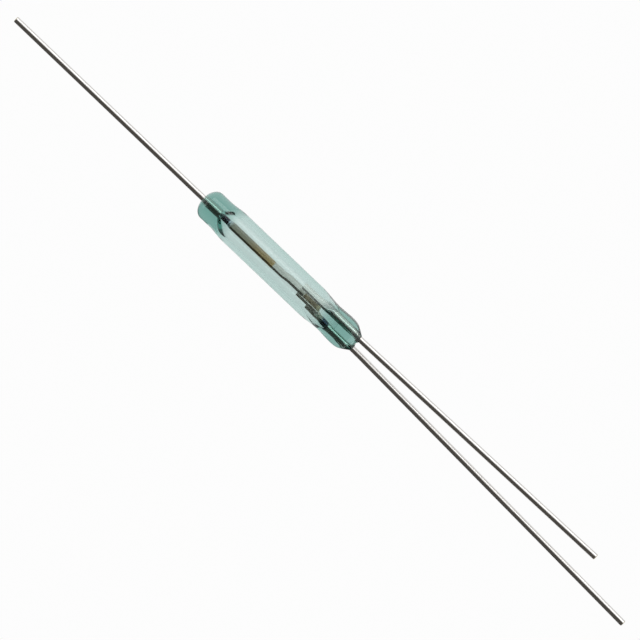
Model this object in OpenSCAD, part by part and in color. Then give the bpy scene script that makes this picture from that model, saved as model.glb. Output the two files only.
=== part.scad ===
// Changeover reed switch: a sealed glass capsule with one flexible common reed, a normally
// open contact and a normally closed contact, each pressed from its own lead wire.
// The glass axis is X, the origin is at the middle of the glass, the common lead leaves
// along +X and the two contact leads along -X. The switch lies on its glass and on the tip
// of the closed contact's lead, so the open contact is on the -Y side and a little higher.

/* [Glass body] */
// Overall length of the glass
glass_len = 14.75; // [13:0.05:20]
// Outside diameter of the glass body
glass_d = 2.54; // [2.4:0.02:3]
// Wall thickness of the glass tube
glass_wall = 0.33; // [0.2:0.01:0.42]

/* [Common end of the glass] */
// Diameter of the seal round the common lead
common_seal_d = 2.23; // [1.8:0.01:2.38]
// Solid glass from the end of the capsule to the cavity
common_seal_len = 1.65; // [1:0.05:2.2]
// Length of the rounded end
common_dome_len = 0.75; // [0.4:0.05:0.9]
// Length of the straight stretch behind the rounded end
common_neck_len = 1.1; // [0.2:0.05:1.5]
// Length over which the seal widens to the body
common_flare_len = 1.1; // [0.5:0.05:2]
// Length of the cone at the end of the cavity
cavity_cone_len = 0.7; // [0.3:0.05:1]
// Diameter of the glass lip round the common lead
common_lip_d = 0.72; // [0.6:0.02:1]

/* [Two-lead end of the glass] */
// Solid glass from the end of the capsule to the cavity
pair_seal_len = 2.65; // [2.2:0.05:3.2]
// Length of the stretch that narrows from the body to the waist
pair_neck_len = 1.7; // [1.2:0.05:2.2]
// Width of the waist, across the two leads
waist_w = 2.26; // [2:0.02:2.38]
// Height of the waist
waist_h = 1.6; // [1.3:0.05:1.8]
// Distance of the bulge from the end of the capsule
bulge_back = 1.4; // [1.2:0.05:1.8]
// Width of the bulge, across the two leads
bulge_w = 2.42; // [2.1:0.02:2.52]
// Height of the bulge
bulge_h = 1.8; // [1.5:0.05:2.1]
// How far the glass between the leads lies back from the lips round them
crotch_back = 0.25; // [0.1:0.05:0.4]
// Diameter of the glass lip at each of the two leads
pair_lip_d = 0.58; // [0.54:0.01:0.7]
// Diameter that each lip widens to inside the end
pair_lip_root_d = 1.08; // [0.9:0.02:1.3]
// Length of the lip round each of the two leads
pair_lip_len = 0.7; // [0.5:0.05:1]
// Height of the cavity where it closes on the two leads
cavity_end_h = 1.04; // [0.9:0.02:1.2]
// Length of the rounded end of the cavity
cavity_dome_len = 0.8; // [0.5:0.05:1]
// Offset of the centres that the flattened faces of the seal are turned about
flat_centre = 0.5; // [0.3:0.05:0.8]

/* [Lead wires] */
// Diameter of the bare wire
wire_d = 0.46; // [0.36:0.01:0.5]
// Thickness of the tin plating on the leads
plating_t = 0.005; // [0.002:0.001:0.01]
// Length over which the plating thins out towards the glass
plating_edge_len = 0.6; // [0.55:0.05:1]
// Free length of the common lead
common_lead_len = 18.2; // [5:0.1:25]
// Free length of the normally open lead
no_lead_len = 22.5; // [5:0.1:30]
// Free length of the normally closed lead
nc_lead_len = 27.2; // [5:0.1:35]
// Distance between the two contact leads where they leave the glass
lead_pitch = 0.96; // [0.9:0.01:1.02]
// Outward lean of the normally open lead in degrees
no_lean = 1.1; // [0.4:0.1:4]
// Outward lean of the normally closed lead in degrees
nc_lean = 2.1; // [0.4:0.1:4]
// Length of the bend outside the glass
bend_len = 1.2; // [1:0.1:2]
// Chamfer at the cut tips
tip_chamfer = 0.04; // [0.01:0.01:0.08]
// Turn of the lead plane about the glass axis as the switch lies, in degrees
lying_turn = 18; // [0:1:45]

/* [Common reed] */
// Bare round wire between the seal and the pressed part
bare_wire_len = 0.7; // [0.7:0.05:1]
// Length over which the common wire is pressed flat
common_press_len = 0.35; // [0.25:0.05:0.6]
// Thickness of the spring part
spring_t = 0.15; // [0.1:0.01:0.18]
// Width of the spring part
spring_w = 0.84; // [0.6:0.02:0.96]
// Length of the thick tip that carries the contact
armature_len = 1.47; // [1:0.05:2.5]
// Thickness of the thick tip
armature_t = 0.2; // [0.16:0.01:0.24]
// Length of the step between the spring part and the thick tip
step_len = 0.7; // [0.4:0.05:1]

/* [Contacts] */
// Distance of the closed contact from the glass axis
contact_plane = -0.015; // [-0.04:0.005:0.02]
// Clearance of the resting reed over the closed contact
rest_clearance = 0.005; // [0.002:0.001:0.008]
// Gap between the resting reed and the open contact
contact_gap = 0.22; // [0.2:0.01:0.26]
// Length by which the reed lies over both contacts
contact_overlap = 0.49; // [0.3:0.01:0.9]
// Thickness of the normally open blade
no_blade_t = 0.16; // [0.12:0.01:0.2]
// Width of the normally open blade
no_blade_w = 0.86; // [0.7:0.02:0.96]
// Length over which the normally open wire is pressed flat
no_press_len = 0.8; // [0.4:0.05:1]
// Thickness of the normally closed blade
nc_blade_t = 0.25; // [0.18:0.01:0.28]
// Width of the normally closed blade
nc_blade_w = 0.8; // [0.6:0.02:0.9]
// Length over which the normally closed wire is pressed flat
nc_press_len = 0.6; // [0.4:0.05:0.9]
// Length of the contact plate
plate_len = 2.08; // [1.4:0.02:2.6]
// Width of the contact plate
plate_w = 0.84; // [0.6:0.02:0.92]
// Thickness of the contact plate
plate_t = 0.28; // [0.2:0.01:0.3]
// Length by which the plate is welded on the normally closed blade
weld_len = 1.03; // [0.5:0.01:1.2]
// Distance of the plate from the pressed stretch of the wire
plate_setback = 0.12; // [0.06:0.01:0.2]
// Chamfer along the edges of the plate
plate_chamfer = 0.03; // [0.01:0.005:0.05]
// Radius at the corners of the blades' tips
tip_corner_r = 0.1; // [0.04:0.01:0.2]

/* [Hidden] */
$fn = 48;
curve_steps = 7;
margin = 1;
flat_clear = 0.03;
// Length by which the stretches of one wire run into each other
wire_lap = 0.05;
// Share of the plating by which each stretch outside the glass is thicker than the one before it
plating_rise = 0.2;
quarter_turn = 90;
corner_step = 30;

// Distances along the glass, all from its common end
neck_end = common_dome_len + common_neck_len;
body_start = neck_end + common_flare_len;
cavity_end = glass_len - pair_seal_len;
body_end = cavity_end - pair_neck_len;
bulge_z = glass_len - bulge_back;
crotch_z = glass_len - crotch_back;
press_start = common_seal_len + bare_wire_len;
reed_root = press_start + common_press_len;
plate_end = cavity_end - nc_press_len - plate_setback;
plate_tip = plate_end - plate_len;
reed_tip = plate_tip + contact_overlap;
armature_start = reed_tip - armature_len;
step_start = armature_start - step_len;

// Distances from the glass axis, positive towards the normally open side
wire_r = wire_d / 2;
cavity_r = glass_d / 2 - glass_wall;
armature_face = contact_plane + rest_clearance;
no_face = armature_face + armature_t + contact_gap;
nc_face = contact_plane - plate_t;

function ease(a, b, t) = a + (b - a) * (1 - cos(180 * t)) / 2;

// Smooth change from radius r0 at z0 to radius r1 at z1, without its first point
function flare(z0, r0, z1, r1) = [
    for (i = [1 : curve_steps])
        let (t = i / curve_steps)
        [ease(r0, r1, t), z0 + (z1 - z0) * t]
];

// Quarter of an ellipse that opens from a lip at height 0 to radius r at height len
function opening_dome(r, len, lip_r) = [
    let (start = asin(lip_r / r))
    for (i = [0 : curve_steps])
        let (a = start + (quarter_turn - start) * i / curve_steps)
        [r * sin(a), len * (1 - cos(a) / cos(start))]
];

// Quarter of an ellipse that closes from radius r at z0 to radius r_end at z1, without its first point
function closing_dome(r, z0, z1, r_end) = [
    for (i = [1 : curve_steps])
        let (a = quarter_turn * i / curve_steps)
        [r_end + (r - r_end) * cos(a), z0 + (z1 - z0) * sin(a)]
];

// Puts a shape drawn along +Z from the common end, with +Y towards the open contact, in its place
module along_glass() {
    rotate([-lying_turn, 0, 0])
        translate([glass_len / 2, 0, 0])
            rotate([180, 90, 0])
                children();
}

// Turns an outline of [radius, height] points about Z
module turned(outline) {
    rotate_extrude()
        polygon(outline);
}

// Turned shape whose upper and lower faces are flattened towards the two leads
module flattened(plan, height) {
    intersection() {
        turned(plan);
        translate([flat_centre, 0, 0]) turned(height);
        translate([-flat_centre, 0, 0]) turned(height);
    }
}

// Extrudes an outline of [offset from the axis, height] points across the width of a blade
module across(outline, width) {
    rotate([90, 0, 90])
        linear_extrude(width, center = true)
            polygon(outline);
}

// Extrudes an outline of [half width, height] points through the thickness of a blade
module through(outline, low, high) {
    translate([0, high, 0])
        rotate([90, 0, 0])
            linear_extrude(high - low)
                polygon(outline);
}

// Plan of a blade from its root to its tip, with rounded corners at the tip
function blade_plan(width, root, tip) =
    let (way = tip > root ? 1 : -1, corner_z = tip - way * tip_corner_r, corner_x = width / 2 - tip_corner_r)
    concat(
        [[-width / 2, root], [width / 2, root]],
        [
            for (a = [0 : corner_step : quarter_turn])
                [corner_x + tip_corner_r * cos(a), corner_z + way * tip_corner_r * sin(a)]
        ],
        [
            for (a = [quarter_turn : -corner_step : 0])
                [-corner_x - tip_corner_r * cos(a), corner_z + way * tip_corner_r * sin(a)]
        ]
    );

module flat_blade(width, low, high, root, tip) {
    through(blade_plan(width, root, tip), low, high);
}

// Stretch where the round wire is pressed flat, from its round end to its flat end.
// It runs on into the wire, and by flat_lap into the blade.
module pressed_stretch(wire_n, round_z, flat_z, low, high, width, flat_lap) {
    way = flat_z > round_z ? 1 : -1;
    start_z = round_z - way * wire_lap;
    end_z = flat_z + way * flat_lap;
    half_w = width / 2;
    reach = max(abs(high - wire_n), abs(low - wire_n));
    flat_r = norm([reach, half_w]) + flat_clear;
    intersection() {
        across(
            stretch_plan(wire_n - wire_r, wire_n + wire_r, low, high, start_z, round_z, flat_z, end_z),
            width
        );
        through(
            stretch_plan(-wire_r, wire_r, -half_w, half_w, start_z, round_z, flat_z, end_z),
            wire_n - flat_r,
            wire_n + flat_r
        );
        translate([0, wire_n, 0])
            turned(stretch_plan(0, wire_r, 0, flat_r, start_z, round_z, flat_z, end_z));
    }
}

// Outline that reaches from a to b between z0 and z1, and from c to d between z2 and z3
function stretch_plan(a, b, c, d, z0, z1, z2, z3) = concat(
    [[a, z0], [b, z0], [b, z1], [d, z2]],
    z3 == z2 ? [] : [[d, z3]],
    [[c, z3]],
    z3 == z2 || a == c ? [] : [[c, z2]],
    a == c ? [] : [[a, z1]]
);

// Straight plated wire: the edge of its plating, which starts at radius edge_r, and its cut tip
module plated_wire(start_z, edge_r, length) {
    plated_r = wire_r + plating_t;
    turned([
        [0, start_z],
        [edge_r, start_z],
        [plated_r, plating_edge_len],
        [plated_r, length - tip_chamfer],
        [plated_r - tip_chamfer, length],
        [0, length]
    ]);
}

// Contact lead outside the glass: a bend towards +Y and the straight plated wire
module leaning_lead(length, lean) {
    bend_r = bend_len / (lean * PI / 180);
    rise = plating_t * plating_rise;
    translate([0, bend_r, 0])
        rotate([90, 0, -90])
            rotate_extrude(angle = lean)
                translate([bend_r, 0])
                    circle(wire_r + rise);
    translate([0, bend_r * (1 - cos(lean)), bend_r * sin(lean)])
        rotate([-lean, 0, 0])
            plated_wire(-wire_lap, wire_r + 2 * rise, length - bend_r * sin(lean));
}

module glass_outside() {
    body_r = glass_d / 2;
    seal_r = common_seal_d / 2;
    start_h = flat_centre + body_r + flat_clear;
    flattened(
        concat(
            [[0, 0]],
            opening_dome(seal_r, common_dome_len, common_lip_d / 2),
            [[seal_r, neck_end]],
            flare(neck_end, seal_r, body_start, body_r),
            [[body_r, body_end]],
            flare(body_end, body_r, cavity_end, waist_w / 2),
            flare(cavity_end, waist_w / 2, bulge_z, bulge_w / 2),
            closing_dome(bulge_w / 2, bulge_z, crotch_z, 0)
        ),
        concat(
            [[0, -margin], [start_h, -margin], [start_h, body_end]],
            flare(body_end, start_h, cavity_end, flat_centre + waist_h / 2),
            flare(cavity_end, flat_centre + waist_h / 2, bulge_z, flat_centre + bulge_h / 2),
            closing_dome(flat_centre + bulge_h / 2, bulge_z, crotch_z, flat_centre),
            [[0, crotch_z]]
        )
    );
    for (side = [-1, 1])
        translate([0, side * lead_pitch / 2, 0])
            turned(lip_outline());
}

// Outline of the glass drawn out along one of the two leads
function lip_outline() =
    let (lip_r = pair_lip_d / 2, root_r = pair_lip_root_d / 2, root_z = glass_len - pair_lip_len)
    concat(
        [[0, bulge_z], [root_r, bulge_z]],
        [
            for (i = [0 : curve_steps])
                let (t = i / curve_steps)
                [lip_r + (root_r - lip_r) * pow(1 - t, 2), root_z + pair_lip_len * t]
        ],
        [[0, glass_len]]
    );

module glass_cavity() {
    start_h = flat_centre + cavity_r + flat_clear;
    end_h = flat_centre + cavity_end_h / 2;
    low_z = cavity_end - nc_press_len;
    flattened(
        concat(
            [[0, common_seal_len], [wire_r, common_seal_len]],
            [[cavity_r, common_seal_len + cavity_cone_len], [cavity_r, cavity_end - cavity_dome_len]],
            closing_dome(cavity_r, cavity_end - cavity_dome_len, cavity_end, 0)
        ),
        concat(
            [[0, -margin], [start_h, -margin], [start_h, body_end]],
            flare(body_end, start_h, low_z, end_h),
            closing_dome(end_h, low_z, cavity_end, flat_centre),
            [[0, cavity_end]]
        )
    );
}

module common_lead_shape() {
    translate([0, 0, -wire_lap])
        cylinder(h = wire_lap + press_start, r = wire_r);
    pressed_stretch(0, press_start, reed_root, -spring_t / 2, spring_t / 2, spring_w, 0);
    mirror([0, 0, 1])
        plated_wire(0, wire_r + plating_t * plating_rise, common_lead_len);
}

// Contact lead drawn on the +Y side: its blade, the pressed stretch, the sealed wire and the free lead
module contact_lead_shape(low, high, width, press_len, tip, length, lean) {
    wire_n = lead_pitch / 2;
    flat_blade(width, low, high, cavity_end - press_len, tip);
    pressed_stretch(wire_n, cavity_end, cavity_end - press_len, low, high, width, wire_lap);
    translate([0, wire_n, cavity_end])
        cylinder(h = pair_seal_len + wire_lap, r = wire_r);
    translate([0, wire_n, glass_len])
        leaning_lead(length, lean);
}

module no_lead_shape() {
    contact_lead_shape(
        no_face, no_face + no_blade_t, no_blade_w, no_press_len, plate_tip, no_lead_len, no_lean
    );
}

module nc_lead_shape() {
    mirror([0, 1, 0])
        contact_lead_shape(
            -nc_face, nc_blade_t - nc_face, nc_blade_w, nc_press_len, plate_end - weld_len, nc_lead_len, nc_lean
        );
}

module glass_envelope() {
    color([0.62, 0.8, 0.75, 0.45])
        along_glass()
            difference() {
                glass_outside();
                glass_cavity();
                common_lead_shape();
                no_lead_shape();
                nc_lead_shape();
            }
}

module common_lead() {
    color([0.78, 0.77, 0.75])
        along_glass()
            common_lead_shape();
}

module common_reed() {
    half_t = spring_t / 2;
    armature_back = armature_face + armature_t;
    color([0.5, 0.45, 0.38])
        along_glass()
            intersection() {
                across(
                    [
                        [-half_t, reed_root],
                        [half_t, reed_root],
                        [half_t, step_start],
                        [armature_back, armature_start],
                        [armature_back, reed_tip],
                        [armature_face, reed_tip],
                        [armature_face, armature_start],
                        [-half_t, step_start]
                    ],
                    spring_w
                );
                flat_blade(spring_w, -cavity_r, cavity_r, reed_root, reed_tip);
            }
}

module no_lead() {
    color([0.8, 0.79, 0.77])
        along_glass()
            no_lead_shape();
}

module nc_lead() {
    color([0.74, 0.73, 0.71])
        along_glass()
            nc_lead_shape();
}

module nc_contact_plate() {
    half_w = plate_w / 2;
    edge = plate_chamfer;
    color([0.42, 0.37, 0.28])
        along_glass()
            intersection() {
                flat_blade(plate_w, nc_face, contact_plane, plate_end, plate_tip);
                translate([0, 0, plate_tip])
                    linear_extrude(plate_len)
                        polygon([
                            [-half_w, nc_face + edge],
                            [-half_w + edge, nc_face],
                            [half_w - edge, nc_face],
                            [half_w, nc_face + edge],
                            [half_w, contact_plane - edge],
                            [half_w - edge, contact_plane],
                            [-half_w + edge, contact_plane],
                            [-half_w, contact_plane - edge]
                        ]);
            }
}

glass_envelope();
common_lead();
common_reed();
no_lead();
nc_lead();
nc_contact_plate();
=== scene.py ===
"""Changeover reed switch: the glass capsule, its pressed blades and its tinned leads."""

import logging
import math
from collections.abc import Callable
from dataclasses import dataclass, field, replace
from enum import Enum
from itertools import pairwise

import bmesh
import bpy
from mathutils import Euler, Matrix, Vector


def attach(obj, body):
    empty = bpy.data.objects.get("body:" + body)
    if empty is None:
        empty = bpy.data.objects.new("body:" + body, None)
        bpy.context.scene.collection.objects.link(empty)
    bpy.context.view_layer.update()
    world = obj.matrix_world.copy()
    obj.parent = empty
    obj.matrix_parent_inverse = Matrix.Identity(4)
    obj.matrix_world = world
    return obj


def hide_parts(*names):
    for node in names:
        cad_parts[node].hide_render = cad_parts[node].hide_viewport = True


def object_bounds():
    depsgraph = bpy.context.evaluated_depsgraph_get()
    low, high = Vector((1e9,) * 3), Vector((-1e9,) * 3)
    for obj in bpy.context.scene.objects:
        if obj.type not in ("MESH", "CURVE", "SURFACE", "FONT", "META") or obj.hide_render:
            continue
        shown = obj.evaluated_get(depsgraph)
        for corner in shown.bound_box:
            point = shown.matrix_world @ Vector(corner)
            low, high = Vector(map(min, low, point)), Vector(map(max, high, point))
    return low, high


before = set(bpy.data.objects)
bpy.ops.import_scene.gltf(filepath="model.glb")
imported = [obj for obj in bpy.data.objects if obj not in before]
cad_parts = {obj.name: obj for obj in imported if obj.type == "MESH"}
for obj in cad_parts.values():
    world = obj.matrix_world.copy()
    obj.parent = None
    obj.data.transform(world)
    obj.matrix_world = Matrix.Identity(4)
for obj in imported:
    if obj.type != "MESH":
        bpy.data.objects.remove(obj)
CAD_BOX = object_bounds()

log = logging.getLogger("reed_switch")

MM = 0.001
QUARTER_TURN = math.pi / 2
# Distance below which two places count as one, in metres
HAIR = 1e-7

# Turn of the lead plane about the glass axis as the switch lies
LYING_TURN = math.radians(18.0)
GLASS_LENGTH = 14.75 * MM
BARE_WIRE_R = 0.23 * MM
# Distance of each contact lead's middle from the glass axis
LEAD_OFFSET = 0.48 * MM
# Distances of the reed's root and of the two contacts' tips from the common end of the glass
REED_ROOT = 2.70 * MM
CONTACT_TIP = 9.30 * MM

GLASS_SEGMENTS = 128
WIRE_SEGMENTS = 56
# Edges sharper than this stay sharp on metal, and on glass none does
METAL_SMOOTH = math.radians(32.0)
GLASS_SMOOTH = math.pi

# Squareness of the two-lead seal, as an exponent where 2 is an oval
SEAL_FULLNESS = 2.95
# Heights at which that seal is pressed, as shares of its half height
PRESS_HEIGHTS = (0.12, 0.24, 0.42, 0.63, 0.81, 0.92, 0.97)


class Body(Enum):
    """CAD bodies that the pieces ride on."""

    CAPSULE = "capsule"
    REED = "reed"


class Slot(Enum):
    """Material slots of the record."""

    GLASS = "capsule_glass"
    LEAD = "plated_lead"
    REED = "reed_alloy"
    PLATE = "contact_plate"


def x_of(distance: float) -> float:
    """Gives the X in the row frame of a distance from the common end of the glass."""
    return GLASS_LENGTH / 2 - distance


def between(start: float, end: float, share: float) -> float:
    """Gives the value that lies at an even share of the way from one to another."""
    return start + (end - start) * share


def eased(start: float, end: float, share: float) -> float:
    """Gives the value at a share of the way, with a smooth start and a smooth end."""
    return between(start, end, (1 - math.cos(math.pi * share)) / 2)


def steps(count: int) -> list[float]:
    """Gives the shares 1/count, 2/count and so on up to 1."""
    return [(index + 1) / count for index in range(count)]


def press_factors(fullness: float) -> list[float]:
    """Works out the presses that give an oval section the outline of a fuller one.

    Args:
        fullness: Exponent of the fuller outline, where 2 is an oval and more is squarer.

    Returns:
        One factor for each of the press heights.
    """
    heights = (0.0, *PRESS_HEIGHTS, 1.0)
    oval = [math.sqrt(1 - (1 - height**fullness) ** (2 / fullness)) for height in heights]
    slopes = [
        (high - low) / (oval_high - oval_low)
        for (low, oval_low), (high, oval_high) in pairwise(zip(heights, oval))
    ]
    return [after / before for before, after in pairwise(slopes)]


SOFT_PRESSES = tuple(zip(PRESS_HEIGHTS, press_factors(SEAL_FULLNESS)))


@dataclass(frozen=True)
class Ring:
    """One cross-section of a drawn shape, with its place and its half sizes in metres.

    A blade's section bulges to half_n, and its two faces are then pressed flat at flat. A glass
    section's upper and lower sides are pressed softly, from 0 for an oval to 1 for nearly flat.
    """

    distance: float
    half_n: float
    half_w: float
    n: float = 0.0
    flat: float = 0.0
    soft: float = 0.0

    def soft_presses(self) -> list[tuple[float, float]]:
        """Gives the heights beyond which the section is pressed, each with its factor."""
        presses = SOFT_PRESSES if self.soft else ()
        return [(self.half_w * height, factor**self.soft) for height, factor in presses]

    def drawn_half_w(self) -> float:
        """Gives the half height before the section is pressed.

        Returns:
            The half height that the presses bring down to half_w, in metres.
        """
        high = self.half_w
        for height, factor in reversed(self.soft_presses()):
            high = height + (high - height) / factor
        return high


class Drawing:
    """A shape drawn out of a disc, ring by ring, along the glass axis.

    Offsets n are positive towards the open contact, and w is square to the lead plane.
    """

    def __init__(self, name: str, first: Ring, segments: int) -> None:
        """Adds the first disc and opens it for editing.

        Args:
            name: Name of the new object.
            first: Cross-section that the drawing starts from.
            segments: Number of corners of each ring.
        """
        bpy.ops.object.select_all(action="DESELECT")
        bpy.ops.mesh.primitive_circle_add(
            vertices=segments,
            radius=1.0,
            fill_type="NGON",
            location=(x_of(first.distance), -first.n, 0.0),
            rotation=(0.0, QUARTER_TURN, 0.0),
        )
        self.piece = bpy.context.object
        self.piece.name = name
        self.piece.scale = (first.half_w, first.half_n, 1.0)
        bpy.ops.object.transform_apply(location=True, rotation=True, scale=True)
        bpy.ops.object.mode_set(mode="EDIT")
        bpy.ops.mesh.select_mode(type="VERT")
        bpy.ops.mesh.select_all(action="SELECT")
        self.rings = [first]
        self.segments = segments

    def select_where(self, test: Callable[[Vector], bool], ring: int | None = None) -> int:
        """Selects the vertices that pass a test on their place.

        Args:
            test: Function of a vertex's place that says whether it is selected.
            ring: Number of the only ring to look at, in the order of drawing, or None for all.

        Returns:
            Number of selected vertices.
        """
        bpy.ops.mesh.select_all(action="DESELECT")
        mesh = bmesh.from_edit_mesh(self.piece.data)
        mesh.verts.ensure_lookup_table()
        start = 0 if ring is None else ring * self.segments
        end = len(mesh.verts) if ring is None else start + self.segments
        chosen = [vertex for vertex in mesh.verts[start:end] if test(vertex.co)]
        for vertex in chosen:
            vertex.select = True
        mesh.select_flush_mode()
        bmesh.update_edit_mesh(self.piece.data)
        return len(chosen)

    def draw(self, ring: Ring) -> None:
        """Draws the open end out to the next cross-section.

        Args:
            ring: Cross-section to draw it to.
        """
        last = self.rings[-1]
        bpy.ops.mesh.extrude_region_move(
            TRANSFORM_OT_translate={
                "value": (last.distance - ring.distance, last.n - ring.n, 0.0),
                "orient_type": "GLOBAL",
            }
        )
        bpy.ops.transform.resize(
            value=(1.0, ring.half_n / last.half_n, ring.drawn_half_w() / last.drawn_half_w()),
            orient_type="GLOBAL",
            center_override=(x_of(ring.distance), -ring.n, 0.0),
        )
        self.rings.append(ring)

    def draw_straight(self, end: float, count: int = 1) -> None:
        """Draws the last cross-section straight on.

        Args:
            end: Distance to draw it to, from the common end of the glass.
            count: Number of even steps.
        """
        last = self.rings[-1]
        for share in steps(count):
            self.draw(replace(last, distance=between(last.distance, end, share)))

    def draw_blended(self, last: Ring, count: int) -> None:
        """Draws on to another cross-section, with a smooth start and a smooth end.

        On the way between a blade and a round wire, the wire counts as pressed at its own radius.

        Args:
            last: Cross-section to end on.
            count: Number of steps.
        """
        first = self.rings[-1]
        for share in steps(count)[:-1]:
            flat = 0.0
            if first.flat or last.flat:
                flat = eased(first.flat or first.half_n, last.flat or last.half_n, share)
            self.draw(
                Ring(
                    distance=between(first.distance, last.distance, share),
                    half_n=max(eased(first.half_n, last.half_n, share), flat),
                    half_w=eased(first.half_w, last.half_w, share),
                    n=eased(first.n, last.n, share),
                    flat=flat,
                    soft=eased(first.soft, last.soft, share),
                )
            )
        self.draw(last)

    def press_beyond(self, ring: int, plane: Vector, outward: Vector, factor: float) -> None:
        """Presses the part of one ring that lies beyond a plane back towards the plane.

        Args:
            ring: Number of the ring in the order of drawing.
            plane: A place on the plane.
            outward: Unit vector along the axis that is square to the plane, pointing beyond it.
            factor: How much of the depth beyond the plane stays.
        """
        if self.select_where(lambda place: (place - plane).dot(outward) > 0, ring):
            bpy.ops.transform.resize(
                value=[1 + (factor - 1) * abs(part) for part in outward],
                orient_type="GLOBAL",
                center_override=plane,
            )

    def press(self) -> None:
        """Presses every ring that is to be pressed, once the whole shape is drawn."""
        for index, ring in enumerate(self.rings):
            x = x_of(ring.distance)
            for side in (1.0, -1.0):
                if ring.flat:
                    face = Vector((x, -ring.n + side * ring.flat, 0.0))
                    self.press_beyond(index, face, Vector((0.0, side, 0.0)), 0.0)
                for height, factor in ring.soft_presses():
                    level = Vector((x, 0.0, side * height))
                    self.press_beyond(index, level, Vector((0.0, 0.0, side)), factor)

    def turn_beyond(self, distance: float, n: float, angle: float) -> None:
        """Turns all that lies beyond a place, as a wire is bent by hand.

        Args:
            distance: Where the wire is bent, from the common end of the glass.
            n: Offset of the wire's middle there.
            angle: Angle in radians, positive towards the open contact's side.
        """
        x = x_of(distance)
        self.select_where(lambda place: place.x < x - HAIR)
        bpy.ops.transform.rotate(
            value=-angle, orient_axis="Z", orient_type="GLOBAL", center_override=(x, -n, 0.0)
        )

    def turn_about_axis(self, angle: float) -> None:
        """Turns the whole shape about the glass axis.

        Args:
            angle: Angle in radians, positive against the way that the switch is laid down.
        """
        bpy.ops.mesh.select_all(action="SELECT")
        bpy.ops.transform.rotate(
            value=-angle, orient_axis="X", orient_type="GLOBAL", center_override=(0.0, 0.0, 0.0)
        )

    def close(self, smooth_angle: float = METAL_SMOOTH) -> bpy.types.Object:
        """Ends the drawing and lays the piece down as the switch lies.

        Args:
            smooth_angle: Edges sharper than this stay sharp, in radians.

        Returns:
            The finished piece, at the origin.
        """
        bpy.ops.mesh.select_all(action="SELECT")
        bpy.ops.mesh.normals_make_consistent(inside=False)
        bpy.ops.object.mode_set(mode="OBJECT")
        return lay_down(self.piece, smooth_angle)


def lay_down(piece: bpy.types.Object, smooth_angle: float = METAL_SMOOTH) -> bpy.types.Object:
    """Turns a piece about the glass axis as the switch lies, and smooths its shading.

    Args:
        piece: Piece drawn with the lead plane level.
        smooth_angle: Edges sharper than this stay sharp, in radians.

    Returns:
        The same piece, at the origin, with its place in its mesh.
    """
    bpy.ops.object.select_all(action="DESELECT")
    piece.select_set(True)
    bpy.context.view_layer.objects.active = piece
    piece.rotation_euler = (-LYING_TURN, 0.0, 0.0)
    bpy.ops.object.transform_apply(location=True, rotation=True, scale=True)
    bpy.ops.object.shade_smooth_by_angle(angle=smooth_angle)
    return piece


# A value or another node's output for each input of a node, by the input's name or number
Inputs = dict[str | int, object]


def set_inputs(tree: bpy.types.NodeTree, node: bpy.types.Node, inputs: Inputs) -> None:
    """Sets the inputs of a node, or links them.

    Args:
        tree: Node tree that the node is in.
        node: Node to set.
        inputs: What each input gets.
    """
    for key, value in inputs.items():
        if isinstance(value, bpy.types.NodeSocket):
            tree.links.new(value, node.inputs[key])
        else:
            node.inputs[key].default_value = value


def add_node(
    tree: bpy.types.NodeTree, kind: str, inputs: Inputs | None = None, **settings: str | bool
) -> bpy.types.Node:
    """Adds a node.

    Args:
        tree: Node tree to add it to.
        kind: Type of the node.
        inputs: What each input gets.
        settings: Properties of the node itself, such as its operation.

    Returns:
        The new node.
    """
    node = tree.nodes.new(kind)
    for name, value in settings.items():
        setattr(node, name, value)
    set_inputs(tree, node, inputs or {})
    return node


def new_material(name: str) -> tuple[bpy.types.Material, bpy.types.NodeTree]:
    """Adds a node material.

    Args:
        name: Name of the material.

    Returns:
        The material and its node tree.
    """
    material = bpy.data.materials.new(name)
    material.use_nodes = True
    return material, material.node_tree


def camera_sees(
    tree: bpy.types.NodeTree, seen: bpy.types.NodeSocket, other: bpy.types.NodeSocket
) -> bpy.types.NodeSocket:
    """Shows one shader to the camera's own rays and another to all other rays.

    Args:
        tree: Node tree that both are in.
        seen: Shader for the camera's rays.
        other: Shader for all other rays.

    Returns:
        The shader that does both.
    """
    path = add_node(tree, "ShaderNodeLightPath")
    inputs = {"Fac": path.outputs["Is Camera Ray"], 1: other, 2: seen}
    return add_node(tree, "ShaderNodeMixShader", inputs).outputs["Shader"]


@dataclass(frozen=True)
class Band:
    """Colour of a metal from a place on, as a distance from the common end in metres."""

    distance: float
    colour: tuple[float, float, float]
    roughness: float


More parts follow.
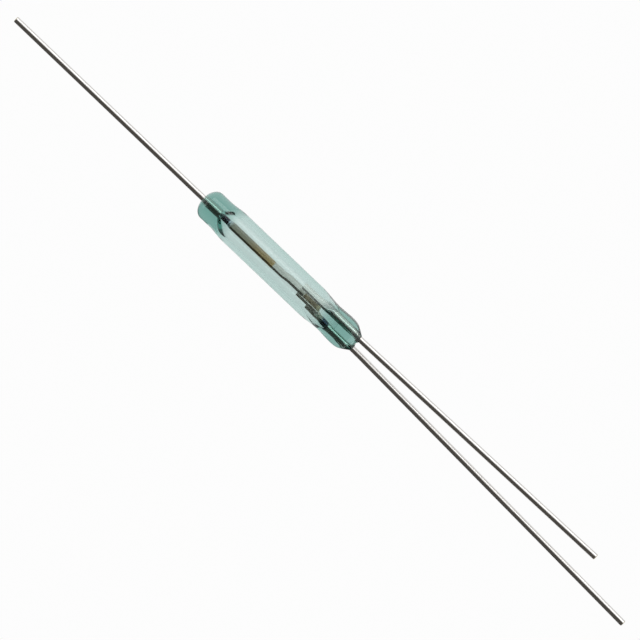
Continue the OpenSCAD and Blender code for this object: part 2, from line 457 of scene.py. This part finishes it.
@dataclass(frozen=True)
class MetalFinish:
    """A metal whose colour changes along the wire, with fine draw marks along it.

    The grains are the scales of the noise, per metre.
    """

    name: str
    bands: tuple[Band, ...]
    mark_depth: float = 0.0006 * MM
    mark_strength: float = 0.35
    mark_grain: tuple[float, float, float] = (1500.0, 16000.0, 16000.0)
    mottle: float = 0.18
    edge_wander: float = 0.05 * MM
    wander_grain: float = 5000.0

    def material(self) -> bpy.types.Material:
        """Builds the node material.

        Returns:
            The material.
        """
        material, tree = new_material(self.name)
        place = add_node(tree, "ShaderNodeTexCoord").outputs["Object"]
        share = self.share_along(tree, place)
        tint = self.ramp(tree, share, [band.colour for band in self.bands])
        gloss = self.ramp(tree, share, [(band.roughness,) * 3 for band in self.bands])
        marks = self.draw_marks(tree, place)
        mottling = {"Value": marks, "To Min": 1.0 - self.mottle, "To Max": 1.0 + self.mottle}
        blotch = add_node(tree, "ShaderNodeMapRange", mottling).outputs["Result"]
        worn = add_node(tree, "ShaderNodeVectorMath", {0: tint, "Scale": blotch}, operation="SCALE")
        rough = add_node(
            tree, "ShaderNodeMath", {0: gloss, 1: blotch}, operation="MULTIPLY", use_clamp=True
        )
        relief = {"Height": marks, "Strength": self.mark_strength, "Distance": self.mark_depth}
        surface = {
            "Metallic": 1.0,
            "Base Color": worn.outputs["Vector"],
            "Roughness": rough.outputs["Value"],
            "Normal": add_node(tree, "ShaderNodeBump", relief).outputs["Normal"],
        }
        set_inputs(tree, tree.nodes["Principled BSDF"], surface)
        return material

    def share_along(
        self, tree: bpy.types.NodeTree, place: bpy.types.NodeSocket
    ) -> bpy.types.NodeSocket:
        """Measures the way from the first band to the last, with edges that wander a little.

        Args:
            tree: Node tree to add the nodes to.
            place: Object coordinates.

        Returns:
            The share of the way, from 0 to 1.
        """
        grain = {"Vector": place, "Scale": self.wander_grain, "Detail": 3.0}
        wander = add_node(tree, "ShaderNodeTexNoise", grain).outputs["Fac"]
        axes = add_node(tree, "ShaderNodeSeparateXYZ", {"Vector": place})
        shift = {0: wander, 1: self.edge_wander * 2, 2: axes.outputs["X"]}
        moved = add_node(tree, "ShaderNodeMath", shift, operation="MULTIPLY_ADD")
        reach = {
            "Value": moved.outputs["Value"],
            "From Min": x_of(self.bands[0].distance) + self.edge_wander,
            "From Max": x_of(self.bands[-1].distance) + self.edge_wander,
        }
        return add_node(tree, "ShaderNodeMapRange", reach).outputs["Result"]

    def ramp(
        self,
        tree: bpy.types.NodeTree,
        share: bpy.types.NodeSocket,
        colours: list[tuple[float, float, float]],
    ) -> bpy.types.NodeSocket:
        """Adds a colour ramp whose stops lie at the bands' distances.

        Args:
            tree: Node tree to add it to.
            share: Share of the way from the first band to the last.
            colours: One colour for each band.

        Returns:
            The ramp's colour.
        """
        node = add_node(tree, "ShaderNodeValToRGB", {"Fac": share})
        low, high = self.bands[0].distance, self.bands[-1].distance
        stops = node.color_ramp.elements
        for band in self.bands[1:-1]:
            stops.new((band.distance - low) / (high - low))
        for stop, colour in zip(stops, colours):
            stop.color = (*colour, 1.0)
        return node.outputs["Color"]

    def draw_marks(
        self, tree: bpy.types.NodeTree, place: bpy.types.NodeSocket
    ) -> bpy.types.NodeSocket:
        """Adds the streaks that the drawing die left along the wire.

        Args:
            tree: Node tree to add them to.
            place: Object coordinates.

        Returns:
            The height of the streaks, from 0 to 1.
        """
        stretch = add_node(tree, "ShaderNodeMapping", {"Vector": place, "Scale": self.mark_grain})
        streaks = {
            "Vector": stretch.outputs["Vector"],
            "Scale": 1.0,
            "Detail": 4.0,
            "Roughness": 0.6,
        }
        return add_node(tree, "ShaderNodeTexNoise", streaks).outputs["Fac"]


@dataclass(frozen=True)
class GlassFinish:
    """Green glass that takes up heat, clear and fire polished, a little uneven from the flame."""

    name: str = "capsule_green_glass"
    passed: tuple[float, float, float] = (0.0, 0.475, 0.400)
    density: float = 711.0
    ior: float = 1.5
    wave_grain: float = 900.0
    wave_strength: float = 0.25
    wave_depth: float = 0.01 * MM

    def material(self) -> bpy.types.Material:
        """Builds the node material.

        Returns:
            The material.
        """
        material, tree = new_material(self.name)
        place = add_node(tree, "ShaderNodeTexCoord").outputs["Object"]
        grain = {"Vector": place, "Scale": self.wave_grain, "Detail": 1.0}
        wave = add_node(tree, "ShaderNodeTexNoise", grain).outputs["Fac"]
        relief = {"Height": wave, "Strength": self.wave_strength, "Distance": self.wave_depth}
        surface = {
            "Base Color": (1.0, 1.0, 1.0, 1.0),
            "Roughness": 0.0,
            "IOR": self.ior,
            "Transmission Weight": 1.0,
            "Normal": add_node(tree, "ShaderNodeBump", relief).outputs["Normal"],
        }
        set_inputs(tree, tree.nodes["Principled BSDF"], surface)
        tint = {"Color": (*self.passed, 1.0), "Density": self.density}
        depth = add_node(tree, "ShaderNodeVolumeAbsorption", tint).outputs["Volume"]
        set_inputs(tree, tree.nodes["Material Output"], {"Volume": depth})
        return material


@dataclass(frozen=True)
class FloorFinish:
    """A plain pale floor that glows a little, so that it stays even and white.

    Mirrored rays find its glow turned down on the side away from the lights, from shade_from to
    shade_full: a painted shadow of the switch.
    The shade keeps clear of the glass's hollow, which would show it as dark patches.
    """

    name: str = "pale_floor"
    seen: float = 0.98
    glow: float = 0.84
    shaded: float = 0.05
    white: float = 0.05
    shade_from: float = 0.8 * MM
    shade_full: float = 1.7 * MM
    hollow_middle: float = 0.5 * MM
    hollow_half: float = 5.5 * MM

    def material(self) -> bpy.types.Material:
        """Builds the node material.

        Returns:
            The material.
        """
        material, tree = new_material(self.name)
        tree.nodes.remove(tree.nodes["Principled BSDF"])
        light = {"Strength": self.glow_strength(tree)}
        glow = add_node(tree, "ShaderNodeEmission", light).outputs["Emission"]
        matt = add_node(tree, "ShaderNodeBsdfDiffuse", {"Color": (self.white,) * 3 + (1.0,)})
        both = add_node(tree, "ShaderNodeAddShader", {0: glow, 1: matt.outputs["BSDF"]})
        seen = add_node(tree, "ShaderNodeEmission", {"Strength": self.seen}).outputs["Emission"]
        surface = camera_sees(tree, seen, both.outputs["Shader"])
        set_inputs(tree, tree.nodes["Material Output"], {"Surface": surface})
        return material

    def glow_strength(self, tree: bpy.types.NodeTree) -> bpy.types.NodeSocket:
        """Adds the nodes that say how much the floor glows at a place.

        Args:
            tree: Node tree to add them to.

        Returns:
            The strength of the glow.
        """
        place = add_node(tree, "ShaderNodeTexCoord").outputs["Object"]
        axes = add_node(tree, "ShaderNodeSeparateXYZ", {"Vector": place})
        path = add_node(tree, "ShaderNodeLightPath")
        hollow = {0: axes.outputs["X"], 1: self.hollow_middle, 2: self.hollow_half}
        inside = add_node(tree, "ShaderNodeMath", hollow, operation="COMPARE")
        depth = {"Value": inside.outputs["Value"], "To Min": self.shaded, "To Max": self.glow}
        mirrored = {
            "Value": path.outputs["Glossy Depth"],
            "To Min": self.glow,
            "To Max": add_node(tree, "ShaderNodeMapRange", depth).outputs["Result"],
        }
        # Painted shadow of the switch: mirrored rays find the glow turned down beside it, beyond
        # the hollow along the axis
        shade = {
            "Value": axes.outputs["Y"],
            "From Min": self.shade_from,
            "From Max": self.shade_full,
            "To Min": self.glow,
            "To Max": add_node(tree, "ShaderNodeMapRange", mirrored).outputs["Result"],
        }
        return add_node(tree, "ShaderNodeMapRange", shade).outputs["Result"]


TIN = (0.75, 0.735, 0.715)
SEALED_OXIDE = (0.72, 0.70, 0.66)
BLUE_OXIDE = (0.07, 0.055, 0.08)
# Lighter metal for the contact plate's long sides and broken edges: a painted highlight along the
# plate's edge
PLATE_BROWN = (0.31, 0.25, 0.17)
EDGE_HIGHLIGHT_METAL = (0.85, 0.82, 0.76)
CUT_FACE = (0.42, 0.35, 0.16)
# Length of a lead's end that shows bare metal
CUT_LENGTH = 0.05 * MM

CAPSULE_GLASS = GlassFinish()
COMMON_WIRE = MetalFinish(
    "common_wire_tin_and_oxide",
    (
        Band(-0.10 * MM, TIN, 0.20),
        Band(0.05 * MM, SEALED_OXIDE, 0.22),
        Band(1.55 * MM, SEALED_OXIDE, 0.22),
        Band(1.66 * MM, (0.06, 0.045, 0.055), 0.28),
        Band(2.30 * MM, BLUE_OXIDE, 0.25),
        Band(2.40 * MM, (0.55, 0.60, 0.68), 0.25),
        Band(REED_ROOT, (0.30, 0.29, 0.24), 0.30),
    ),
)
REED_METAL = MetalFinish(
    "reed_heat_tints",
    (
        Band(REED_ROOT, (0.27, 0.26, 0.21), 0.30),
        Band(4.30 * MM, (0.28, 0.25, 0.18), 0.30),
        Band(5.20 * MM, (0.34, 0.25, 0.13), 0.28),
        Band(6.74 * MM, (0.42, 0.29, 0.13), 0.26),
        Band(6.80 * MM, (0.63, 0.61, 0.57), 0.22),
        Band(9.79 * MM, (0.70, 0.68, 0.64), 0.22),
    ),
)
OPEN_WIRE = MetalFinish(
    "open_wire_tin_and_oxide",
    (
        Band(CONTACT_TIP, (0.80, 0.78, 0.74), 0.24),
        Band(11.10 * MM, (0.78, 0.76, 0.72), 0.24),
        Band(11.35 * MM, (0.60, 0.60, 0.58), 0.28),
        Band(12.10 * MM, (0.50, 0.50, 0.49), 0.28),
        Band(12.25 * MM, SEALED_OXIDE, 0.22),
        Band(14.70 * MM, SEALED_OXIDE, 0.22),
        Band(14.85 * MM, TIN, 0.20),
    ),
)
CLOSED_WIRE = MetalFinish(
    "closed_wire_tin_and_oxide",
    (
        Band(10.35 * MM, (0.90, 0.87, 0.80), 0.48),
        Band(11.70 * MM, (0.70, 0.64, 0.55), 0.40),
        Band(12.00 * MM, (0.07, 0.08, 0.13), 0.25),
        Band(12.40 * MM, (0.07, 0.08, 0.12), 0.25),
        Band(12.60 * MM, SEALED_OXIDE, 0.22),
        Band(14.70 * MM, SEALED_OXIDE, 0.22),
        Band(14.85 * MM, TIN, 0.20),
    ),
)
PLATE_METAL = MetalFinish(
    "contact_plate_alloy",
    (
        Band(CONTACT_TIP, PLATE_BROWN, 0.46),
        Band(10.95 * MM, PLATE_BROWN, 0.46),
        Band(11.10 * MM, (0.50, 0.44, 0.29), 0.46),
        Band(11.38 * MM, (0.44, 0.38, 0.24), 0.46),
    ),
    edge_wander=0.2 * MM,
)
# Finish of the plate's long sides and broken edges, lighter than the plate: a painted highlight
PAINTED_EDGE_HIGHLIGHT = MetalFinish(
    "contact_plate_painted_edge_highlight",
    (Band(9.0 * MM, EDGE_HIGHLIGHT_METAL, 0.36), Band(11.5 * MM, EDGE_HIGHLIGHT_METAL, 0.36)),
)
FRESH_CUT = MetalFinish(
    "cut_wire_end",
    (Band(0.0, CUT_FACE, 0.4), Band(1.0 * MM, CUT_FACE, 0.4)),
    mark_strength=0.8,
)


def coat(piece: bpy.types.Object, *finishes: MetalFinish | GlassFinish | FloorFinish) -> None:
    """Gives a piece its material slots, one for each finish."""
    for finish in finishes:
        piece.data.materials.append(finish.material())


def bare_the_cut(piece: bpy.types.Object) -> None:
    """Gives the second finish to the cut end of a lead, where the plating ends.

    Args:
        piece: Lead with two finishes, at the origin.
    """
    reach = max(abs(vertex.co.x) for vertex in piece.data.vertices)
    for face in piece.data.polygons:
        face.material_index = int(abs(face.center.x) > reach - CUT_LENGTH)


def dress(piece: bpy.types.Object, body: Body, node: str) -> None:
    """Gives a coated piece its body and the CAD node that it stands for.

    Args:
        piece: Finished piece at the origin.
        body: CAD body that it rides on.
        node: CAD node that it replaces.
    """
    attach(piece, body.value)
    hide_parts(node)
    counts = (len(piece.data.vertices), len(piece.data.polygons))
    log.info("%s: %d vertices, %d faces, for %s", piece.name, *counts, node)


@dataclass
class Capsule:
    """The glass: a tube closed on one lead at its common end and pressed on two at the other.

    Distances are from the common end of the glass. Pairs of half sizes are across the two leads
    and square to their plane.
    """

    body_r: float = 1.267 * MM
    seal_r: float = 1.15 * MM
    lip_r: float = 0.30 * MM
    dome_length: float = 0.75 * MM
    neck_end: float = 1.60 * MM
    body_start: float = 2.95 * MM
    body_end: float = 10.35 * MM
    waist: float = 12.12 * MM
    bulge: float = 13.35 * MM
    crotch: float = 14.58 * MM
    waist_half: tuple[float, float] = (1.097 * MM, 0.948 * MM)
    bulge_half: tuple[float, float] = (1.150 * MM, 0.994 * MM)
    end_fullness: float = 2.8
    seal_turn: float = math.radians(17.0)

    dome_rings: int = 20
    neck_rings: int = 4
    flare_rings: int = 14
    body_rings: int = 24
    waist_rings: int = 20
    bulge_rings: int = 16
    end_rings: int = 44

    # How far from a wire its lip is gripped and pulled out, and how far the pull spreads
    lip_grip: float = 0.03 * MM
    lip_pull: float = 0.26 * MM
    lip_spread: float = 0.55 * MM

    bore_r: float = 0.94 * MM
    bore_start: float = 1.58 * MM
    bore_start_r: float = 0.19 * MM
    bore_open: float = 3.15 * MM
    bore_fall: float = 10.35 * MM
    bore_edge: float = 12.95 * MM
    bore_edge_half: tuple[float, float] = (0.50 * MM, 0.003 * MM)
    # Powers that draw the rings of the hollow together at its start and delay its narrowing
    bore_start_bias: float = 1.5
    bore_narrow_bias: float = 2.0

    bore_start_rings: int = 28
    bore_rings: int = 20
    bore_edge_rings: int = 36

    def outside(self) -> bpy.types.Object:
        """Draws the outer skin of the glass, from the common end to the crotch.

        Returns:
            The skin, at the origin.
        """
        drawing = Drawing("capsule_glass", Ring(0.0, self.lip_r, self.lip_r), GLASS_SEGMENTS)
        start = math.asin(self.lip_r / self.seal_r)
        for share in steps(self.dome_rings):
            angle = between(start, QUARTER_TURN, share)
            distance = self.dome_length * (1 - math.cos(angle) / math.cos(start))
            r = self.seal_r * math.sin(angle)
            drawing.draw(Ring(distance, r, r))
        drawing.draw_straight(self.neck_end, self.neck_rings)
        drawing.draw_blended(Ring(self.body_start, self.body_r, self.body_r), self.flare_rings)
        drawing.draw_straight(self.body_end, self.body_rings)
        drawing.draw_blended(Ring(self.waist, *self.waist_half, soft=1.0), self.waist_rings)
        drawing.draw_blended(Ring(self.bulge, *self.bulge_half, soft=1.0), self.bulge_rings)
        half_n, half_w = self.bulge_half
        for share in steps(self.end_rings)[:-1]:
            along = math.sin(QUARTER_TURN * share)
            distance = between(self.bulge, self.crotch, along)
            narrow = (1 - along**self.end_fullness) ** (1 / self.end_fullness)
            drawing.draw(Ring(distance, half_n * narrow, half_w * narrow, soft=1.0 - share))
        drawing.press()
        drawing.turn_about_axis(self.seal_turn)
        self.pull_lips(drawing)
        return drawing.close(GLASS_SMOOTH)

    def pull_lips(self, drawing: Drawing) -> None:
        """Pulls the glass out along each of the two leads, as it wets them.

        Args:
            drawing: The outer skin, open for editing.
        """
        for n in (LEAD_OFFSET, -LEAD_OFFSET):
            chosen = drawing.select_where(
                lambda place: place.x < x_of(self.bulge)
                and math.hypot(place.y + n, place.z) < BARE_WIRE_R + self.lip_grip
            )
            log.info("lip at n %.2f mm: %d vertices pulled", n / MM, chosen)
            bpy.ops.transform.translate(
                value=(-self.lip_pull, 0.0, 0.0),
                orient_type="GLOBAL",
                use_proportional_edit=True,
                use_proportional_connected=True,
                proportional_edit_falloff="SHARP",
                proportional_size=self.lip_spread,
            )

    def bore(self) -> bpy.types.Object:
        """Draws the skin of the hollow inside the glass.

        Returns:
            The skin, at the origin, facing outwards.
        """
        first = Ring(self.bore_start, self.bore_start_r, self.bore_start_r)
        drawing = Drawing("capsule_bore", first, GLASS_SEGMENTS)
        for share in steps(self.bore_start_rings):
            along = share**self.bore_start_bias
            r = between(self.bore_start_r, self.bore_r, math.sin(QUARTER_TURN * along))
            drawing.draw(Ring(between(self.bore_start, self.bore_open, along), r, r))
        drawing.draw_straight(self.bore_fall, self.bore_rings)
        edge_n, edge_w = self.bore_edge_half
        for share in steps(self.bore_edge_rings):
            distance = between(self.bore_fall, self.bore_edge, share)
            half_n = eased(self.bore_r, edge_n, share**self.bore_narrow_bias)
            half_w = eased(self.bore_r, edge_w, share)
            drawing.draw(Ring(distance, half_n, half_w, soft=eased(0.0, 1.0, share)))
        drawing.press()
        drawing.turn_about_axis(self.seal_turn)
        return drawing.close(GLASS_SMOOTH)

    def build(self) -> bpy.types.Object:
        """Joins the outer skin and the hollow into one closed glass wall.

        Returns:
            The finished glass.
        """
        skin = self.outside()
        hollow = self.bore()
        bpy.ops.object.select_all(action="DESELECT")
        hollow.select_set(True)
        bpy.context.view_layer.objects.active = hollow
        bpy.ops.object.mode_set(mode="EDIT")
        bpy.ops.mesh.select_all(action="SELECT")
        bpy.ops.mesh.flip_normals()
        bpy.ops.object.mode_set(mode="OBJECT")
        skin.select_set(True)
        bpy.context.view_layer.objects.active = skin
        bpy.ops.object.join()
        coat(skin, CAPSULE_GLASS)
        dress(skin, Body.CAPSULE, "glass_envelope")
        return skin


@dataclass(frozen=True)
class Blade:
    """Cross-section of a wire where it is pressed flat: its faces' offsets and its width.

    It is drawn bulge times as thick as it is, so that its faces are flat once they are pressed.
    """

    low: float
    high: float
    width: float
    bulge: float = 3.2
    corner_r: float = 0.1 * MM
    corner_rings: int = 5

    def ring(self, distance: float, narrow: float = 0.0) -> Ring:
        """Gives the cross-section at a place.

        Args:
            distance: Distance from the common end of the glass.
            narrow: How much is taken off the half width there.

        Returns:
            A ring to draw and press.
        """
        half_t = (self.high - self.low) / 2
        middle = (self.high + self.low) / 2
        return Ring(distance, half_t * self.bulge, self.width / 2 - narrow, middle, half_t)

    def tip_rings(self, tip: float, way: float) -> list[Ring]:
        """Gives the rings round the corners of the tip.

        Args:
            tip: Distance of the tip from the common end of the glass.
            way: 1 where the tip points away from the common end, else -1.

        Returns:
            Rings from the straight part to the tip.
        """
        rings = []
        for share in (0.0, *steps(self.corner_rings)):
            angle = QUARTER_TURN * share
            back = self.corner_r * (1 - math.sin(angle))
            rings.append(self.ring(tip - way * back, self.corner_r * (1 - math.cos(angle))))
        return rings


@dataclass(frozen=True)
class Wire:
    """Sizes that the three lead wires share."""

    bare_r: float = BARE_WIRE_R
    plated_r: float = 0.2315 * MM
    edge_length: float = 0.6 * MM
    tip_chamfer: float = 0.04 * MM
    bend_length: float = 1.2 * MM
    lead_rings: int = 12

    def cut_r(self) -> float:
        """Gives the radius of the cut end inside its chamfer."""
        return self.plated_r - self.tip_chamfer


SPRING = Blade(-0.090 * MM, 0.090 * MM, 0.84 * MM)
THICK_TIP = Blade(-0.010 * MM, 0.190 * MM, 0.84 * MM)


@dataclass
class CommonLead:
    """The single lead: tinned wire, the sealed bare wire and the stretch pressed for the reed."""

    wire: Wire = Wire()
    length: float = 18.2 * MM
    press_start: float = 2.35 * MM
    press_rings: int = 8

    def build(self) -> bpy.types.Object:
        """Draws the lead from its cut tip to the root of the reed.

        Returns:
            The finished lead.
        """
        wire = self.wire
        tip = -self.length
        drawing = Drawing("common_lead_wire", Ring(tip, wire.cut_r(), wire.cut_r()), WIRE_SEGMENTS)
        plated_from = tip + wire.tip_chamfer
        drawing.draw(Ring(plated_from, wire.plated_r, wire.plated_r))
        # The last step is shorter than the others, by the chamfer
        step = (self.length - wire.edge_length) / wire.lead_rings
        drawing.draw_straight(plated_from + step * (wire.lead_rings - 1), wire.lead_rings - 1)
        drawing.draw_straight(-wire.edge_length)
        drawing.draw(Ring(0.0, wire.bare_r, wire.bare_r))
        drawing.draw_straight(self.press_start)
        drawing.draw_blended(SPRING.ring(REED_ROOT), self.press_rings)
        drawing.press()
        piece = drawing.close()
        coat(piece, COMMON_WIRE, FRESH_CUT)
        bare_the_cut(piece)
        dress(piece, Body.CAPSULE, "common_lead")
        return piece


@dataclass
class Reed:
    """The common reed: a thin spring blade that steps over into a thicker plated tip."""

    step_start: float = 7.62 * MM
    tip_start: float = 8.32 * MM
    tip: float = 9.79 * MM
    spring_rings: int = 8
    step_rings: int = 8

    def build(self) -> bpy.types.Object:
        """Draws the reed from its root to its tip.

        Returns:
            The finished reed.
        """
        drawing = Drawing("common_reed_blade", SPRING.ring(REED_ROOT), WIRE_SEGMENTS)
        drawing.draw_straight(self.step_start, self.spring_rings)
        drawing.draw_blended(THICK_TIP.ring(self.tip_start), self.step_rings)
        for ring in THICK_TIP.tip_rings(self.tip, 1.0):
            drawing.draw(ring)
        drawing.press()
        piece = drawing.close()
        coat(piece, REED_METAL)
        dress(piece, Body.REED, "common_reed")
        return piece


@dataclass
class ContactLead:
    """A contact lead: its blade, the pressed stretch, the sealed wire and the leaning free lead.

    side is 1 for the open contact and -1 for the closed one.
    """

    name: str
    node: str
    finish: MetalFinish
    blade: Blade
    side: float
    tip: float
    flat_end: float
    length: float
    lean: float
    wire: Wire = Wire()
    round_from: float = 12.1 * MM
    press_rings: int = 10
    bend_steps: int = 8

    def build(self) -> bpy.types.Object:
        """Draws the lead from the tip of its blade to its cut tip, and bends it.

        Returns:
            The finished lead.
        """
        wire = self.wire
        n = self.side * LEAD_OFFSET
        first, *corners = reversed(self.blade.tip_rings(self.tip, -1.0))
        drawing = Drawing(self.name, first, WIRE_SEGMENTS)
        for ring in corners:
            drawing.draw(ring)
        drawing.draw_straight(self.flat_end)
        round_start = Ring(self.round_from, wire.bare_r, wire.bare_r, n)
        drawing.draw_blended(round_start, self.press_rings)
        drawing.draw_straight(GLASS_LENGTH)
        bend_end = Ring(GLASS_LENGTH + wire.bend_length, wire.plated_r, wire.plated_r, n)
        drawing.draw_blended(bend_end, self.bend_steps)
        tip = GLASS_LENGTH + self.length
        drawing.draw_straight(tip - wire.tip_chamfer, wire.lead_rings)
        drawing.draw(Ring(tip, wire.cut_r(), wire.cut_r(), n))
        drawing.press()
        self.bend(drawing)
        piece = drawing.close()
        coat(piece, self.finish, FRESH_CUT)
        bare_the_cut(piece)
        dress(piece, Body.CAPSULE, self.node)
        return piece

    def bend(self, drawing: Drawing) -> None:
        """Bends the free lead outwards in small steps over the length of its bend.

        Args:
            drawing: The straight lead, open for editing.
        """
        along, across = GLASS_LENGTH, self.side * LEAD_OFFSET
        part = self.lean / self.bend_steps
        stretch = self.wire.bend_length / self.bend_steps
        turned = 0.0
        for _ in range(self.bend_steps):
            drawing.turn_beyond(along, across, self.side * part)
            turned += part
            along += stretch * math.cos(turned)
            across += self.side * stretch * math.sin(turned)


@dataclass
class ContactPlate:
    """The closed contact: a small plate of non-magnetic metal, welded on the closed blade."""

    low: float = -0.295 * MM
    high: float = -0.015 * MM
    width: float = 0.84 * MM
    end: float = 11.38 * MM
    edge: float = 0.07 * MM
    edge_segments: int = 4

    def build(self) -> bpy.types.Object:
        """Builds the plate from a block with broken edges; its two long sides and the broken edges
        take a lighter metal, painted for a highlight along its edge.

        Returns:
            The finished plate.
        """
        bpy.ops.object.select_all(action="DESELECT")
        bpy.ops.mesh.primitive_cube_add(
            size=1.0,
            location=(x_of((CONTACT_TIP + self.end) / 2), -(self.low + self.high) / 2, 0.0),
            scale=(self.end - CONTACT_TIP, self.high - self.low, self.width),
        )
        piece = bpy.context.object
        piece.name = "closed_contact_plate"
        bpy.ops.object.transform_apply(location=True, rotation=True, scale=True)
        coat(piece, PLATE_METAL, PAINTED_EDGE_HIGHLIGHT)
        # The long sides and the bevel take the lighter metal, a painted highlight along the edge
        highlight_slot = len(piece.data.materials) - 1
        for face in piece.data.polygons:
            face.material_index = highlight_slot * round(abs(face.normal.z))
        bevel = piece.modifiers.new("broken_edges", "BEVEL")
        bevel.width = self.edge
        bevel.segments = self.edge_segments
        bevel.material = highlight_slot
        bpy.ops.object.modifier_apply(modifier=bevel.name)
        lay_down(piece)
        dress(piece, Body.CAPSULE, "nc_contact_plate")
        return piece


OPEN_LEAD = ContactLead(
    name="open_lead_wire",
    node="no_lead",
    finish=OPEN_WIRE,
    blade=Blade(0.41 * MM, 0.57 * MM, 0.86 * MM),
    side=1.0,
    tip=CONTACT_TIP,
    flat_end=11.30 * MM,
    length=22.5 * MM,
    lean=math.radians(1.1),
)
CLOSED_LEAD = ContactLead(
    name="closed_lead_wire",
    node="nc_lead",
    finish=CLOSED_WIRE,
    blade=Blade(-0.545 * MM, -0.295 * MM, 0.80 * MM),
    side=-1.0,
    tip=10.35 * MM,
    flat_end=11.08 * MM,
    length=27.2 * MM,
    lean=math.radians(2.1),
    round_from=11.72 * MM,
)


def facing(right: Vector, up: Vector, back: Vector) -> Euler:
    """Gives the turn that puts an object's own X, Y and Z along three directions."""
    return Matrix((right, up, back)).transposed().to_euler()


def add_soft_light(
    name: str,
    place: Vector,
    turn: Euler | tuple[float, float, float],
    size: tuple[float, float],
    radiance: float,
) -> None:
    """Adds a rectangular soft light that the camera doesn't see.

    Args:
        name: Name of the light.
        place: Its middle.
        turn: Its rotation.
        size: Its length and height, in metres.
        radiance: How bright its face is.
    """
    bpy.ops.object.light_add(type="AREA", location=place)
    lamp = bpy.context.object
    lamp.name = name
    lamp.rotation_euler = turn
    lamp.data.shape = "RECTANGLE"
    lamp.data.size, lamp.data.size_y = size
    lamp.data.energy = radiance * math.pi * size[0] * size[1]
    lamp.visible_camera = False


@dataclass(frozen=True)
class Softbox:
    """A soft light whose middle lies at an angle from the view, towards the open side.

    Angles are in degrees.
    """

    name: str
    angle: float
    half_angle: float
    radiance: float
    distance: float = 0.30
    length: float = 0.70

    def place(self, studio: "Studio") -> None:
        """Adds the light, turned towards the switch.

        Args:
            studio: Studio that says where the camera looks from and at.
        """
        away = studio.direction(math.radians(self.angle))
        along = Vector((1.0, 0.0, 0.0))
        height = 2 * self.distance * math.tan(math.radians(self.half_angle))
        add_soft_light(
            self.name,
            studio.aim + away * self.distance,
            facing(along, away.cross(along), away),
            (self.length, height),
            self.radiance,
        )


@dataclass
class Studio:
    """Camera, floor and lights, set by the direction that the photo looks along."""

    view_tilt: float = math.radians(30.0) - LYING_TURN
    image_turn: float = math.radians(43.664)
    aim: Vector = field(default_factory=lambda: Vector((-4.42 * MM, 0.55 * MM, 0.0)))
    view_width: float = 44.91 * MM
    camera_distance: float = 0.35
    sensor: float = 36.0
    clip: tuple[float, float] = (0.01, 20.0)
    floor: FloorFinish = FloorFinish()
    floor_size: float = 4.0
    floor_clearance: float = 0.001 * MM
    dusk: tuple[float, float, float] = (0.080, 0.074, 0.066)
    panel_size: tuple[float, float] = (0.60, 0.30)
    panel_distance: float = 0.40
    panel_radiance: float = 0.8
    softboxes: tuple[Softbox, ...] = (
        Softbox("key_softbox", 52.5, 11.5, 2.4),
        Softbox("top_softbox", 26.0, 15.0, 0.85),
        Softbox("low_softbox", 71.0, 7.0, 0.50),
    )

    def direction(self, angle: float) -> Vector:
        """Gives the way out from the glass at an angle from the view, towards the open side."""
        tilt = self.view_tilt + angle
        return Vector((0.0, -math.sin(tilt), math.cos(tilt)))

    def add_camera(self) -> None:
        """Adds the camera square to the glass axis, turned as the photo is."""
        towards = self.direction(0.0)
        side = self.direction(QUARTER_TURN)
        axis = Vector((-1.0, 0.0, 0.0))
        right = axis * math.cos(self.image_turn) + side * math.sin(self.image_turn)
        bpy.ops.object.camera_add(location=self.aim + towards * self.camera_distance)
        eye = bpy.context.object
        eye.name = "photo_camera"
        eye.rotation_euler = facing(right, towards.cross(right), towards)
        eye.data.sensor_width = self.sensor
        eye.data.lens = self.sensor * self.camera_distance / self.view_width
        eye.data.clip_start, eye.data.clip_end = self.clip
        bpy.context.scene.camera = eye

    def add_floor(self) -> None:
        """Adds the floor just under the switch."""
        bpy.ops.object.select_all(action="DESELECT")
        level = CAD_BOX[0][2] - self.floor_clearance
        bpy.ops.mesh.primitive_plane_add(size=self.floor_size, location=(0.0, 0.0, level))
        ground = bpy.context.object
        ground.name = "floor"
        coat(ground, self.floor)

    def add_room(self) -> None:
        """Sets a dim room that looks white to the camera."""
        room = bpy.data.worlds.new("room")
        bpy.context.scene.world = room
        room.use_nodes = True
        tree = room.node_tree
        tree.nodes.clear()
        dim = add_node(tree, "ShaderNodeBackground", {"Color": (*self.dusk, 1.0)})
        white = add_node(tree, "ShaderNodeBackground", {"Color": (self.floor.seen,) * 3 + (1.0,)})
        both = camera_sees(tree, white.outputs["Background"], dim.outputs["Background"])
        add_node(tree, "ShaderNodeOutputWorld", {"Surface": both})

    def add_end_panel(self, name: str, sense: float) -> None:
        """Adds an upright soft light beyond one end of the switch.

        Args:
            name: Name of the light.
            sense: 1 for the common end, -1 for the end with two leads.
        """
        place = Vector((sense * self.panel_distance, 0.0, self.panel_size[1] / 2))
        turn = (QUARTER_TURN, 0.0, sense * QUARTER_TURN)
        add_soft_light(name, place, turn, self.panel_size, self.panel_radiance)

    def build(self) -> None:
        """Sets up the whole studio."""
        bpy.context.scene.view_settings.view_transform = "Standard"
        self.add_camera()
        self.add_room()
        self.add_floor()
        self.add_end_panel("open_end_panel", -1.0)
        self.add_end_panel("common_end_panel", 1.0)
        for box in self.softboxes:
            box.place(self)


def main() -> None:
    """Builds the studio and the pieces in order."""
    logging.basicConfig(level=logging.INFO, format="%(name)s %(message)s")
    Studio().build()
    Capsule().build()
    CommonLead().build()
    Reed().build()
    OPEN_LEAD.build()
    CLOSED_LEAD.build()
    ContactPlate().build()
    bpy.ops.object.select_all(action="DESELECT")


if __name__ == "__main__":
    main()
